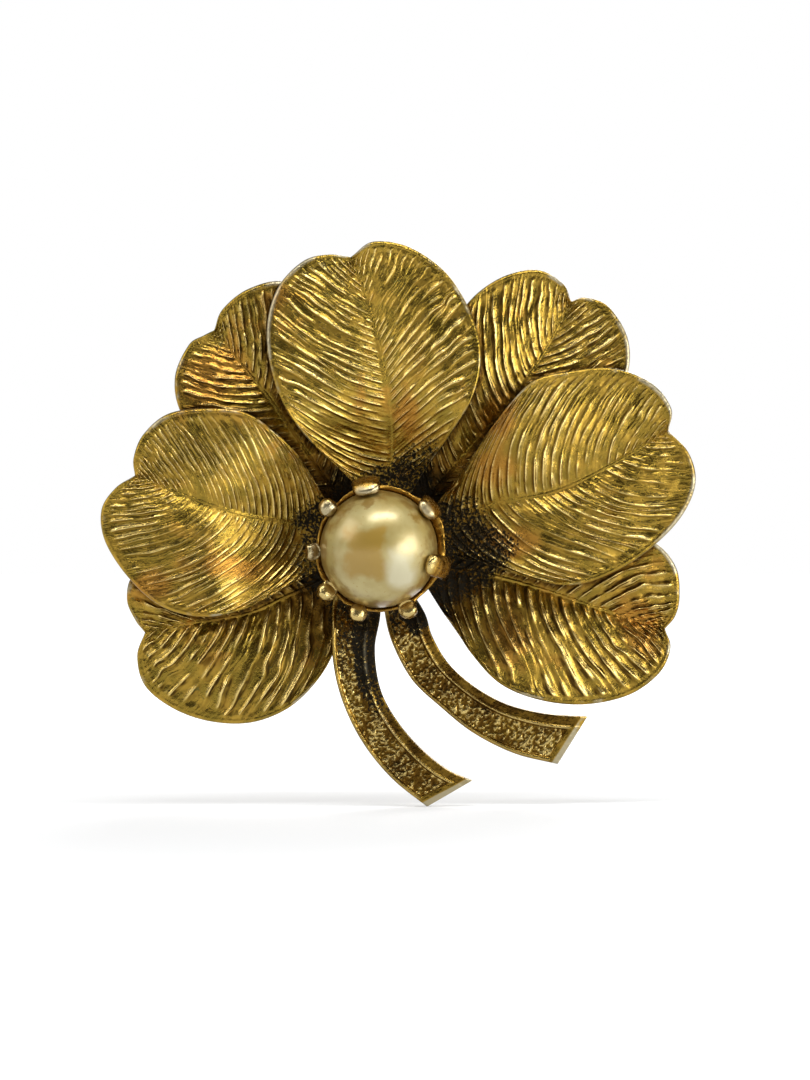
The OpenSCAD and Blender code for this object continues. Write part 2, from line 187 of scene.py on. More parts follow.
# Black residue round the crown: how far it reaches, how softly it ends, how dense it is, and the
# tongues that reach further, each a direction and half width in degrees and a length
GRIME_R = 4.6
GRIME_FADE = 2.6
GRIME_MOST = 0.8
GRIME_TONGUES = [(-3, 30, 3.4), (68, 13, 2.3)]

# Dark patina at the roots, on the rear leaves also painted shade: the radius from which it fades, and over
# what length
FRONT_DARK = (5.5, 7)
REAR_DARK = (6, 4.5)
# How far the painted shadow under a front leaf shows outside its edge, and how dark it is there
SHADE_RUN = 0.9
SHADE_MOST = 0.9

# Leaf outlines: root direction and half angle in degrees, then splines from the hub outwards.
# "left" and "right" values of sweep and bow are for the two sides of the rib. "dark" is how black
# the root is, patina and on a rear leaf also painted shade, and "shade" how much darker the whole leaf is.
LEAVES = {
    "leaf_top": {
        "root": (85, 25), "front": True, "lean": 0.2, "seed": 1, "dark": 0.15, "shade": 0.0,
        "veins": 36, "relief": 0.19, "sweep": (0.6, 0.65), "bow": (0.07, -0.03),
        "left": [(-1.9, 5), (-4.4, 7.2), (-6.6, 9.9), (-7.8, 13), (-8.1, 16.2), (-7.3, 19),
                 (-5.5, 20.9), (-3.6, 21.4)],
        "right": [(3.3, 5.7), (5.1, 8.2), (6.8, 11), (7.4, 14), (6.7, 17), (4.9, 20), (2.2, 21.9),
                  (-0.4, 22.3)],
        "rib": [(0.8, 5.8), (0.8, 9.8), (0.2, 13.8), (-0.7, 17.6)], "notch": (-2, 21.2),
    },
    "leaf_left": {
        "root": (166, 27), "front": True, "lean": -0.3, "seed": 2, "dark": 0.3, "shade": 0.15,
        "veins": 38, "relief": 0.18, "sweep": (0.54, 0.48), "bow": (0.15, 0.1),
        "left": [(-4.7, -1.2), (-7, -2.9), (-9.6, -4.3), (-12.6, -4.9), (-15.6, -4.2), (-18, -2.2),
                 (-19.8, 0.5), (-20.1, 2.8), (-19.1, 4.4)],
        "right": [(-4.3, 3.8), (-5.5, 6.3), (-7.3, 8.3), (-9.7, 9.9), (-12.6, 10.2), (-15.3, 9.8),
                  (-17.1, 8.3), (-17.8, 6.6)],
        "rib": [(-4.7, 1.5), (-6.9, 2), (-9.9, 2.5), (-13.8, 3.8)], "notch": (-17.7, 5.3),
    },
    "leaf_right": {
        "root": (14, 21), "front": True, "lean": -0.3, "seed": 3, "dark": 0.45, "shade": 0.24,
        "veins": 34, "relief": 0.23, "sweep": (0.46, 0.5), "bow": (0.14, 0.12),
        "left": [(5.3, 3.7), (6.7, 6.5), (8.6, 9.4), (11.1, 12.1), (14, 12.9), (17, 13.1), (19.8, 12),
                 (21.2, 10.2)],
        "right": [(5.5, -0.7), (8.3, -1.1), (11.2, -2.2), (14.2, -2.6), (17.2, -1.6), (19.9, 0.2),
                  (22, 2.4), (23, 4.8), (22.5, 7)],
        "rib": [(4.9, 1.4), (8.2, 3.2), (12.8, 4.2), (17, 6.2)], "notch": (21, 8.6),
    },
    "leaf_upper_left": {
        "root": (128, 20), "front": False, "lean": 0.2, "seed": 4, "dark": 1.0, "shade": 0.14,
        "veins": 28, "relief": 0.22, "sweep": (0.5, 0.5), "bow": (0.1, 0.1),
        "left": [(-5.6, 3.6), (-9.2, 5.4), (-12.6, 7.4), (-14.6, 10.1), (-15, 12.7), (-14, 15),
                 (-12.9, 15.7)],
        "right": [(-1.4, 6), (-2.4, 9.6), (-3.4, 13.6), (-4.6, 17.6), (-6.9, 19.6), (-9.6, 19.1),
                  (-11.5, 17.6)],
        "rib": [(-3.4, 4.4), (-5.8, 7.8), (-8, 11), (-10.3, 13.8)], "notch": (-12.1, 16.1),
    },
    "leaf_upper_right": {
        "root": (47, 24), "front": False, "lean": -0.2, "seed": 5, "dark": 1.0, "shade": 0.24,
        "veins": 30, "relief": 0.2, "sweep": (0.5, 0.5), "bow": (0.12, 0.1),
        "left": [(2.5, 6.2), (3.6, 10), (4.8, 14.5), (6.4, 17.9), (8.9, 19.9), (11.6, 20.5),
                 (13.5, 19.5)],
        "right": [(6, 3.6), (9.5, 6), (13.5, 7.5), (16.6, 9.7), (18.2, 12.6), (18.3, 15.4),
                  (16.9, 17.8), (15.2, 18.5)],
        "rib": [(3.9, 4.2), (6.8, 7.4), (9.8, 11), (12.2, 14.6)], "notch": (14.1, 18.2),
    },
    "leaf_lower_left": {
        "root": (206, 22), "front": False, "lean": 0.3, "seed": 6, "dark": 0.8, "shade": 0.08,
        "veins": 20, "relief": 0.34, "sweep": (0.44, 0.46), "bow": (0.1, 0.1),
        "left": [(-2.9, -4.1), (-3, -6.6), (-4.2, -9.2), (-6.4, -11.5), (-9.2, -12.7),
                 (-12.2, -12.7), (-15, -11.8), (-17.2, -10.1), (-17.8, -7.9)],
        "right": [(-5, -0.6), (-8.4, -0.6), (-12, -0.7), (-15.6, -1), (-18, -1.9), (-18.5, -3.7),
                  (-17.9, -5.2)],
        "rib": [(-4.3, -2.3), (-6.9, -3.5), (-9.6, -4.7), (-13.6, -5.4)], "notch": (-17.2, -6.1),
    },
    "leaf_lower_right": {
        "root": (-16, 20), "front": False, "lean": 0.2, "seed": 7, "dark": 0.9, "shade": 0.24,
        "veins": 24, "relief": 0.32, "sweep": (0.46, 0.48), "bow": (0.1, 0.1),
        "left": [(5.4, 0.2), (9, 0.9), (13, 1.4), (17, 1.4), (20.2, 0.5), (21.8, -1.3),
                 (22.1, -3.4), (21.8, -4.9)],
        "right": [(4.2, -3.2), (5.4, -5.4), (6.7, -7.6), (8.9, -9.9), (11.9, -11.1), (15.2, -11.4),
                  (18.4, -10.7), (20.6, -9.1), (21.4, -7.3)],
        "rib": [(4.6, -1.3), (8.6, -2), (12.8, -3.2), (16.8, -4.6)], "notch": (21, -5.9),
    },
}

# ------------------------------ stems

STEM_T = 1.5
STEM_RISE_RUN = 2
# Rows of points along a stem, closer together towards its cut end, steps across it, and the
# radius of its edges with the turns round them, in degrees
STEM_ROWS = 420
STEM_CROWDING = 1.25
STEM_ACROSS = 60
STEM_ROUND = 0.2
STEM_TURNS = (90, 70, 45, 20)

# Cut end: length and slope of its bevel, and where the panel and the ridges stop before it
BEVEL = 0.5
BEVEL_SLOPE = 0.6
PANEL_STOP = 0.75
RIDGE_STOP = 0.6
STOP_RUN = 0.2

# Section across a stem, as shares of the way from its upper to its lower edge: a sunk panel with
# a ridge on each side, each its place, width and height, and a smooth border above
PANEL = (0.27, 0.92)
PANEL_STEP = 0.05
RIDGES = [(0.25, 0.03, 1.0), (0.95, 0.035, 0.7)]
BORDER_TO = 0.24
RIDGE_H = 0.07
PANEL_DEPTH = 0.20
BORDER_DEPTH = 0.05

# Grain: its size, that of the slower unevenness under it, and heights on the border and the panel
STEM_GRAIN = 0.16
STEM_UNEVEN = 0.9
BORDER_GRAIN_H = 0.012
PANEL_GRAIN_H = 0.024

# Outlines as for the leaves, with "rise" above the layer and how far the black tarnish runs
STEMS = {
    "stem_left": {
        "root": (246, 24), "front": True, "rise": 0.5, "tarnish": 9, "seed": 11,
        "upper": [(0.1, -4.7), (-0.3, -7.3), (0.1, -10.2), (1.3, -12.5), (3.1, -14.6), (5, -16.1),
                  (6.8, -16.9)],
        "lower": [(-3.2, -3.2), (-3.45, -5.8), (-3.3, -8.6), (-2.6, -11.3), (-1.2, -14.1),
                  (0.9, -16.7), (3.5, -18.8)],
    },
    "stem_right": {
        "root": (292, 17), "front": False, "rise": 0, "tarnish": 2.5, "seed": 12,
        "upper": [(3.2, -4.4), (3.9, -6.4), (5.1, -8.4), (7, -10.1), (9.4, -11.4), (12.3, -12.1),
                  (15.3, -12.3)],
        "lower": [(0.4, -4.7), (1, -7), (2.4, -9.6), (4.5, -11.6), (6.9, -13.5), (9.9, -15),
                  (13.1, -15.8)],
    },
}

# ------------------------------ crown and pearl

# Claws: direction, how far up the pearl the tip reaches (degrees), width and whether it is a
# broad bent claw (True) or a narrow one with a bead for a tip
CLAWS = [
    (39, 25, 1.75, True), (101, 28, 1.95, True), (141, 20, 1.3, False), (182, 10, 1.3, False),
    (219, 10, 1.4, False), (252, 13, 1.3, False), (296, 10, 1.38, False), (344, 37, 1.6, True),
]
# The claw whose bead has broken open, and those whose tips have lost their plating
HOLLOW_CLAW = 182
BARE_CLAWS = (39, 101, 141, 182)
# Both kinds of claw: how far the tip's middle is off the pearl, the shoulder's radius and height
# over the pearl's middle, the length over which the end rounds off, and the section (1 is round,
# and less is squarer)
BROAD_CLAW = {"clear": 0.34, "shoulder": (4.92, 0.35), "end": 0.5, "square": 0.72}
BEADED_CLAW = {"clear": 0.52, "shoulder": (4.78, 0.0), "end": 0.52, "square": 1.0}
CLAW_ROWS = 56
CLAW_SIDES = 36
CLAW_LUMPS = 0.09
# Half thickness and half width of the stalk under a bead
WIRE_R = 0.26
WIRE_W = 0.36

# Cup: radii of its hole and its wall, the flare of its collar (how much, towards which angle and
# how wide, in radians), and its rim, which dips between the claws and wavers
CUP_TURNS = 240
CUP_HOLE = 0.86
CUP_R = 4.62
FLARE = 0.32
FLARE_AT = 0.3
FLARE_W = 0.6
WALL_WAVE = 0.09
RIM_BELOW = 0.35
RIM_DIP = 0.70
DIP_W = 0.36
RIM_WAVE = 0.13

PEARL_RINGS = 72
PEARL_TURNS = 144
PEARL_UNEVEN = 0.0012

# On the pearl's coat, each its middle and half widths in x and y: a darker yellow patch that is a painted
# reflection, and a pale patch that is a painted highlight
PAINTED_REFLECTION = ((-1.0, -0.4), (1.35, 1.8))
PAINTED_HIGHLIGHT = ((1.6, -1.3), (0.8, 1.2))
# Radii between which the coat browns towards the girdle
GIRDLE = (3.4, 4.15)

# ------------------------------ numbers


def smooth(f):
    """Eases from 0 at 0 to 1 at 1, and stays level outside."""
    c = np.clip(f, 0, 1)
    return c * c * (3 - 2 * c)


def rise(x, start, run):
    """Eases from 0 at start to 1 a run further on."""
    return smooth((x - start) / run)


def lattice(i, j, seed):
    """A repeatable value from 0 to 1 for each whole-number pair, by an integer hash."""
    word, fraction = 0xFFFFFFFF, 0xFFFFFF
    n = (i * 374761393 + j * 668265263 + seed * 974634777) & word
    n = ((n ^ (n >> 13)) * 1274126177) & word
    return ((n ^ (n >> 16)) & fraction) / fraction


def noise(x, y, size, seed):
    """Smooth value noise from -1 to 1 with bumps about size across."""
    x, y = np.broadcast_arrays(np.asarray(x, float) / size, np.asarray(y, float) / size)
    i, j = np.floor(x).astype(np.int64), np.floor(y).astype(np.int64)
    u, v = smooth(x - i), smooth(y - j)
    low = lattice(i, j, seed) * (1 - u) + lattice(i + 1, j, seed) * u
    high = lattice(i, j + 1, seed) * (1 - u) + lattice(i + 1, j + 1, seed) * u
    return 2 * (low * (1 - v) + high * v) - 1


def layered(x, y, size, seed, layers=3):
    """Noise with finer, weaker noise added layer by layer."""
    return sum(noise(x, y, size / 2**n, seed + 17 * n) / 2**n for n in range(layers))


def bell(x, middle, width):
    """1 in the middle, falling to 0 on both sides."""
    return np.exp(-(((x - middle) / width) ** 2))


def crowded(steps):
    """Shares from 0 to 1, closer together at both ends."""
    return 0.5 - 0.5 * np.cos(np.pi * np.arange(steps + 1) / steps)


def polar(r, degrees):
    a = math.radians(degrees)
    return (r * math.cos(a), r * math.sin(a))


def spline(points, steps=12):
    """Catmull-Rom curve through the points, as (lengths so far, places)."""
    p = np.array(points, float)
    p = np.vstack([2 * p[0] - p[1], p, 2 * p[-1] - p[-2]])
    t = (np.arange(steps) / steps)[:, None]
    places = []
    for a, b, c, d in zip(p[:-3], p[1:-2], p[2:-1], p[3:]):
        places.append(0.5 * (2 * b + (c - a) * t + (2 * a - 5 * b + 4 * c - d) * t**2
                             + (3 * b - a - 3 * c + d) * t**3))
    places = np.vstack([*places, p[-2:-1]])
    lengths = np.concatenate([[0], np.cumsum(np.linalg.norm(np.diff(places, axis=0), axis=1))])
    return lengths, places


def along(curve, fraction):
    """The places at the given shares of the curve's length."""
    lengths, places = curve
    at = np.asarray(fraction) * lengths[-1]
    return np.stack([np.interp(at, lengths, places[:, k]) for k in range(2)], axis=-1)


def spots(places, x, y):
    """1 in the middle of each of the places, falling to 0 round it."""
    share = np.zeros(x.shape)
    for cx, cy, rx, ry in places:
        share = np.maximum(share, np.exp(-(((x - cx) / rx) ** 2) - ((y - cy) / ry) ** 2))
    return share


def as_worn(points):
    """Flat millimetres to the frame's metres."""
    p = np.asarray(points, float)
    return np.stack([p[..., 0], -p[..., 2] - PIN_BACK, p[..., 1] - PIN_RISE], axis=-1) * MM


# ------------------------------ meshes


def skin(rings, marks, cap_start=False, cap_end=False):
    """A skin over closed rings of points, one after another, as (points, faces, marks). Marks are
    values for each point. Points that coincide are merged later, so a last ring of one place
    closes the skin."""
    count, size = rings.shape[:2]
    i = np.arange(count - 1)[:, None] * size
    j = np.arange(size)[None, :]
    k = (j + 1) % size
    faces = np.stack([i + j, i + size + j, i + size + k, i + k], axis=-1).reshape(-1, 4).tolist()
    if cap_start:
        faces.append(list(range(size)))
    if cap_end:
        faces.append([(count - 1) * size + n for n in reversed(range(size))])
    return rings.reshape(-1, 3), faces, {mark: np.ravel(values) for mark, values in marks.items()}


def piece_of(name, skins):
    """One object of one or more skins. A mark that a skin lacks is nought on it."""
    points, faces = [], []
    for places, quads, _ in skins:
        start = sum(len(p) for p in points)
        faces += [[n + start for n in quad] for quad in quads]
        points.append(places)
    mesh = bpy.data.meshes.new(name)
    mesh.from_pydata(as_worn(np.vstack(points)).tolist(), [], faces)
    for mark in MARKS:
        layer = mesh.attributes.new(mark, "FLOAT", "POINT")
        values = np.concatenate([marks.get(mark, np.zeros(len(places))) for places, _, marks in skins])
        layer.data.foreach_set("value", np.ascontiguousarray(values, np.float32))
    return finish_mesh(name, mesh)


def finish_mesh(name, mesh):
    """Merges coinciding points, faces the skin outwards, smooths it and makes its object."""
    work = bmesh.new()
    work.from_mesh(mesh)
    bmesh.ops.remove_doubles(work, verts=work.verts, dist=2e-7)
    bmesh.ops.dissolve_degenerate(work, edges=work.edges, dist=1e-8)
    bmesh.ops.recalc_face_normals(work, faces=work.faces)
    work.to_mesh(mesh)
    work.free()
    mesh.polygons.foreach_set("use_smooth", np.ones(len(mesh.polygons), bool))
    return add_object(name, mesh)


def add_object(name, data):
    thing = bpy.data.objects.new(name, data)
    bpy.context.scene.collection.objects.link(thing)
    return thing


def stand_for(piece, node, body):
    """Puts the piece in the CAD node's place, after checking that it fills the same box."""
    low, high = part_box(node)
    place = np.array([v.co for v in piece.data.vertices])
    off = max(np.abs(place.min(0) - np.array(low)).max(), np.abs(place.max(0) - np.array(high)).max())
    if off > BOX_SLACK * MM:
        raise ValueError(f"{piece.name} is {off / MM:.2f} mm off the box of {node}")
    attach(piece, body)
    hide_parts(node)


def leaf_height(x, y, v, s, lift, lean):
    """Upper face of a leaf as the solids have it, with the groove along its rib dying out early."""
    r = np.hypot(x, y)
    out = rise(r, FLAT_R, RISE_RUN)
    cup = LEAF_CUP * v**2 * (1 - CUP_FADE * s)
    droop = TIP_DROOP * rise(r, DROOP_R, DROOP_RUN)
    groove = RIB_GROOVE * out * (1 - smooth(np.abs(v) / RIB_SHARE)) * smooth((RIB_END - s) / RIB_FADE)
    return LEAF_T + out * (lift + cup + lean * v) - droop - groove


def vein_relief(leaf, q, v, x, y, to_edge, side):
    """Height of the engraved veins, and how near a point is to a crest and to the bottom of a
    groove (0 to 1). Each vein has its own strength, which comes and goes along it, and finer ones
    fill some of the valleys."""
    seed = leaf["seed"]
    phase = q + (0.5 if side > 0 else 0)
    part = phase % 1
    out = np.abs(v)
    strength = 0.66 + 0.66 * layered(5.7 * np.round(phase), 8 * out, 1, seed + SALT["strength"])
    strength = np.clip(strength, 0.05, 1.3)
    between = 0.2 + 0.8 * noise(4.3 * np.floor(phase), 5 * out, 1, seed + SALT["between"])
    slope = np.where(part < STEEP_FROM, part / STEEP_FROM, (1 - part) / (1 - STEEP_FROM))
    crest = strength * (1 - slope) ** CREST_POWER
    fine = np.clip(1 - np.abs(part - FINE_AT) / FINE_W, 0, 1) ** 1.5
    fine = FINE_H * np.clip(between, 0, 1) * fine
    worn = 0.45 + 0.55 * smooth(0.75 + 0.8 * layered(x, y, 3.0, seed + SALT["worn"]))
    worn = worn * (1 - 0.75 * spots(SMOOTH_SPOTS, x, y))
    fade = smooth(out / VEIN_RIB) * rise(to_edge, *VEIN_EDGE)
    fade = fade * rise(np.hypot(x, y), *VEIN_ROOT)
    ditch = bell(part, DITCH_AT, FRONT_DITCH_W if leaf["front"] else REAR_DITCH_W)
    groove = fade * (0.4 + 0.6 * worn) * np.clip(strength + 0.15, 0, 1) * ditch
    uneven = 0.03 * layered(1.9 * q, 13 * v, 1, seed + SALT["uneven"]) * fade
    height = leaf["relief"] * fade * worn * (crest + fine) + uneven
    return height, np.clip(1.2 * (crest + fine) * fade * worn, 0, 1), groove


def half_leaf(leaf, side, curves, q, stations):
    """One side of a leaf for all rows and the given stations across it, as flat points, upper
    face, length of each vein, share of the way to the edge (negative on the left) and distance
    to the edge. A station is (v, turn): v from rib to edge on the upper face, and turn the angle
    in degrees round the edge from the upper face (0) past the rim (90) to the lower face (180)."""
    rib, edge = curves
    v, turn = np.array(stations).T
    count = leaf["veins"]
    rows, right = q[:, None], side > 0
    wander = WANDER * layered(rows, 4.5 * v[None, :] + 20 * right, 2.8, leaf["seed"], 2)
    wander = wander + FINE_WANDER * noise(rows, 22 * v[None, :] + 50 * right, 2.5,
                                          leaf["seed"] + SALT["wander"])
    wander = wander * smooth(v / 0.5) * np.sin(np.pi * np.clip(q / count, 0, 1))[:, None] ** 0.5
    s = np.clip((rows + wander) / count, 0, 1)
    start = along(rib, q / count)[:, None, :]
    sweep, bow = leaf["sweep"][right], leaf["bow"][right]
    first, last = VEIN_START**sweep, (1 + VEIN_START) ** sweep
    end = along(edge, ((s + VEIN_START) ** sweep - first) / (last - first))
    chord = end - start
    shortest = 1e-6
    length = np.maximum(np.linalg.norm(chord, axis=-1), shortest)
    ahead = along(rib, np.minimum(q / count + 0.02, 1)) - along(rib, q / count)
    ahead = ahead / np.maximum(np.linalg.norm(ahead, axis=-1), shortest)[:, None]
    inset = np.minimum(EDGE_ROUND, 0.5 * length) * (1 - np.sin(np.radians(turn)))
    reach = v * (1 - inset / length)
    back = bow * 4 * v * (1 - v) * length * smooth(4 * (1 - s))
    p = start + chord * reach[..., None] - ahead[:, None, :] * back[..., None]
    signed = side * v
    top = leaf_height(p[..., 0], p[..., 1], signed, s, leaf["lift"], leaf["lean"])
    return p, top, length, signed, length * (1 - v)


def side_skin(leaf, side, curves, q, base):
    """One side of a leaf, as rings of points and their marks."""
    spread = crowded(ACROSS)
    stations = [(v, 0) for v in spread] + [(1, turn) for turn in EDGE_TURNS]
    stations += [(v, 180) for v in spread[::LOWER_EVERY][::-1]]
    p, top, span, signed, to_edge = half_leaf(leaf, side, curves, q, stations)
    x, y = p[..., 0], p[..., 1]
    r, out = np.hypot(x, y), np.abs(signed)
    turn = np.array([t for _, t in stations])
    relief, crest, groove = vein_relief(leaf, q[:, None], signed, x, y, to_edge, side)
    lip = smooth(1 - np.abs(to_edge - LIP_AT) / LIP_W) * rise(r, *LIP_ROOT)
    puff = PUFF * np.sin(np.pi * out) * rise(r, *PUFF_ROOT) * smooth(span / PUFF_SPAN)
    ribline = RIBLINE_H * bell(out * (to_edge + 0.01), 0, RIBLINE_W)
    grain = GRAIN_H * layered(x, y, GRAIN_SIZE, leaf["seed"] + SALT["grain"])
    face = top + relief + LIP_H * lip + puff + ribline + grain
    z = np.where(turn <= 90, face - EDGE_ROUND * (1 - np.cos(np.radians(turn))),
                 top - LEAF_T + EDGE_ROUND * (1 + np.cos(np.radians(turn))))
    marks = {
        "crest": crest * (turn < 90), "groove": groove * (turn < 90),
        "rim": smooth((RIM_W - to_edge) / RIM_W) * (turn < 120),
        "under": np.broadcast_to(rise(turn, 90, 30), x.shape),
        "row": np.broadcast_to(q[:, None], x.shape), "across": np.broadcast_to(signed, x.shape),
    }
    return np.concatenate([p, (base + z)[..., None]], axis=-1), marks


def leaf_curves(leaf, steps=12):
    """Splines of the leaf's left and right edges, from the hub to the notch."""
    direction, half = leaf["root"]
    return [spline([polar(ROOT_R, direction + turn), *leaf[key], leaf["notch"]], steps)
            for key, turn in (("left", half), ("right", -half))]


def leaf_piece(name, leaf):
    leaf = dict(leaf, lift=FRONT_LIFT if leaf["front"] else REAR_LIFT)
    base = FRONT_Z if leaf["front"] else REAR_Z
    left, right = leaf_curves(leaf)
    rib = spline([polar(ROOT_R, leaf["root"][0]), *leaf["rib"], leaf["notch"]])
    q = np.arange(leaf["veins"] * ROWS_PER_VEIN + 1) / ROWS_PER_VEIN
    left_rings, left_marks = side_skin(leaf, -1, (rib, left), q, base)
    right_rings, right_marks = side_skin(leaf, 1, (rib, right), q, base)

    def join(a, b):
        """Both sides as one ring. They share the points on the rib."""
        return np.concatenate([a[:, ::-1], b[:, 1:-1]], axis=1)

    places = join(left_rings, right_rings)
    marks = {mark: join(left_marks[mark], right_marks[mark]) for mark in left_marks}
    x, y = places[..., 0], places[..., 1]
    marks["grime"] = root_grime(x, y, leaf["seed"])
    marks["bare"] = spots(BARE_SPOTS, x, y)
    marks["copper"] = copper_places(x, y, leaf["seed"])
    marks["deep"] = patina_and_shade_places(leaf, x, y)
    piece = piece_of(name + "_veined", [skin(places, marks, cap_start=True)])
    stand_for(piece, name, "brooch")
    return piece


def front_leaf_painted_shadow(x, y):
    """1 under a front leaf, falling to 0 a little way outside its edge: a painted shadow for the rear
    leaves.
    """
    covered = np.zeros(x.shape)
    for leaf in LEAVES.values():
        if not leaf["front"]:
            continue
        (_, left), (_, right) = leaf_curves(leaf, 6)
        line = np.vstack([left, right[::-1]])
        away = np.full(x.shape, np.inf)
        inside = np.zeros(x.shape, bool)
        for (ax, ay), (bx, by) in zip(line, np.roll(line, -1, axis=0)):
            if ay != by:
                inside ^= ((ay > y) != (by > y)) & (x < (bx - ax) * (y - ay) / (by - ay) + ax)
            away = np.minimum(away, np.hypot(x - ax, y - ay))
        shade = SHADE_MOST * smooth(1 - away / SHADE_RUN)
        covered = np.maximum(covered, np.where(inside, 1, shade))
    return covered


def patina_and_shade_places(leaf, x, y):
    """Darkening: patina round the leaf's root, which on a rear leaf is also painted shade, a painted
    shadow under the front leaves, and an even darkening all over.
    """
    start, run = FRONT_DARK if leaf["front"] else REAR_DARK
    dark = leaf["dark"] * smooth(1 - (np.hypot(x, y) - start) / run)
    # On a rear leaf, painted shadow where the front leaves cover it
    if not leaf["front"]:
        dark = np.maximum(dark, front_leaf_painted_shadow(x, y))
    return np.maximum(dark, leaf["shade"])


def copper_places(x, y, seed):
    """Where the plating has worn to a reddish tone."""
    return smooth(spots(COPPER_SPOTS, x, y) * 1.5 + 0.5 * layered(x, y, 1.6, seed + SALT["copper"]) - 0.35)


def root_grime(x, y, seed):
    """Black residue round the crown, heaviest to the right and on one side of the top leaf."""
    heading = np.degrees(np.arctan2(y, x))
    reach = GRIME_R + layered(x, y, 2.4, seed + SALT["grime"])
    for direction, width, further in GRIME_TONGUES:
        reach = reach + further * bell(heading, direction, width)
    return GRIME_MOST * smooth(1 - (np.hypot(x, y) - reach) / GRIME_FADE)


def stem_piece(name, stem):
    """A thick strip with a sunk, grained panel between two ridges and a bevelled end."""
    base = FRONT_Z if stem["front"] else REAR_Z
    direction, half = stem["root"]
    upper = spline([polar(ROOT_R, direction + half), *stem["upper"]])
    lower = spline([polar(ROOT_R, direction - half), *stem["lower"]])
    s = 1 - (1 - np.arange(STEM_ROWS + 1) / STEM_ROWS) ** STEM_CROWDING
    a, b = along(upper, s)[:, None, :], along(lower, s)[:, None, :]
    out = rise(np.hypot(a[..., 0], a[..., 1]), FLAT_R, STEM_RISE_RUN)
    stations = [(0, turn) for turn in STEM_TURNS] + [(v, 0) for v in crowded(STEM_ACROSS)]
    stations += [(1, turn) for turn in reversed(STEM_TURNS)]
    v, turn = np.array(stations).T
    inset = np.minimum(STEM_ROUND / np.linalg.norm(b - a, axis=-1), 0.3) * (1 - np.sin(np.radians(turn)))
    place = np.where(v < 0.5, inset, -inset) * np.abs(2 * v - 1) + v
    p = a * (1 - place)[..., None] + b * place[..., None]
    x, y = p[..., 0], p[..., 1]

    to_end = (1 - s)[:, None] * upper[0][-1]
    panel = rise(place, PANEL[0], PANEL_STEP) * smooth((PANEL[1] - place) / PANEL_STEP)
    panel = panel * rise(to_end, PANEL_STOP, STOP_RUN)
    ridge = sum(height * bell(place, at, width) for at, width, height in RIDGES)
    ridge = ridge * rise(to_end, RIDGE_STOP, STOP_RUN)
    border = smooth((BORDER_TO - place) / PANEL_STEP) * smooth(place / 0.06)
    grain = layered(x, y, STEM_GRAIN, stem["seed"], 2) + 0.35 * noise(x, y, STEM_UNEVEN, stem["seed"] + 3)
    slant = BEVEL_SLOPE * np.clip(BEVEL - to_end, 0, BEVEL)
    relief = RIDGE_H * ridge - PANEL_DEPTH * panel - BORDER_DEPTH * border
    relief = relief + grain * (BORDER_GRAIN_H + PANEL_GRAIN_H * panel)
    top = LEAF_T + (stem["rise"] + STEM_T - LEAF_T) * out
    z = base + top + out * relief - slant - STEM_ROUND * (1 - np.cos(np.radians(turn)))

    under_v = np.linspace(1, 0, 5)
    under = a * (1 - under_v)[:, None] + b * under_v[:, None]
    thick = LEAF_T + (STEM_T - LEAF_T) * out
    under_z = np.broadcast_to(base + top - thick, under.shape[:2])
    face = np.concatenate([p, z[..., None]], axis=-1)
    back = np.concatenate([under, under_z[..., None]], axis=-1)

    flat = np.zeros(under_z.shape)
    face_marks = stem_marks(stem, x, y, place, out, to_end, panel, ridge, border, grain)
    marks = {mark: np.concatenate([values, flat], axis=1) for mark, values in face_marks.items()}
    marks["under"] = np.concatenate([np.zeros(x.shape), flat + 1], axis=1)
    rings = np.concatenate([face, back], axis=1)
    piece = piece_of(name + "_grained", [skin(rings, marks, cap_start=True, cap_end=True)])
    stand_for(piece, name, "brooch")
    return piece


def stem_marks(stem, x, y, place, out, to_end, panel, ridge, border, grain):
    """Marks of a stem's upper face: black along its upper side near the crown, specks further on
    and bare metal on the bevel."""
    bevel = smooth((BEVEL - to_end) / 0.15)
    cloudy = 0.5 + 0.5 * layered(x, y, 1.3, stem["seed"] + 5)
    reach = 1 - (np.hypot(x, y) - 5) / stem["tarnish"]
    black = smooth(1.6 * reach) * smooth((0.55 - place) / 0.12) * (0.75 + 0.5 * cloudy)
    specked = smooth(1.2 * reach) * panel * (0.30 + 0.25 * cloudy)
    crust = root_grime(x, y, stem["seed"]) * (0.35 + 0.65 * smooth((0.6 - place) / 0.15))
    deep = np.clip(0.44 + 0.25 * border + 0.3 * panel * cloudy, 0, 1)
    return {
        "crest": 0.7 * panel * smooth(2.5 * grain) + 0.6 * ridge,
        "groove": panel * smooth(-2 * grain),
        "rim": bevel * out + 0.3 * ridge,
        "bare": 0.6 * bevel * np.ones(x.shape),
        "grime": np.clip(black + specked + crust, 0, 0.95) * (1 - bevel),
        "deep": deep * (1 - bevel),
    }


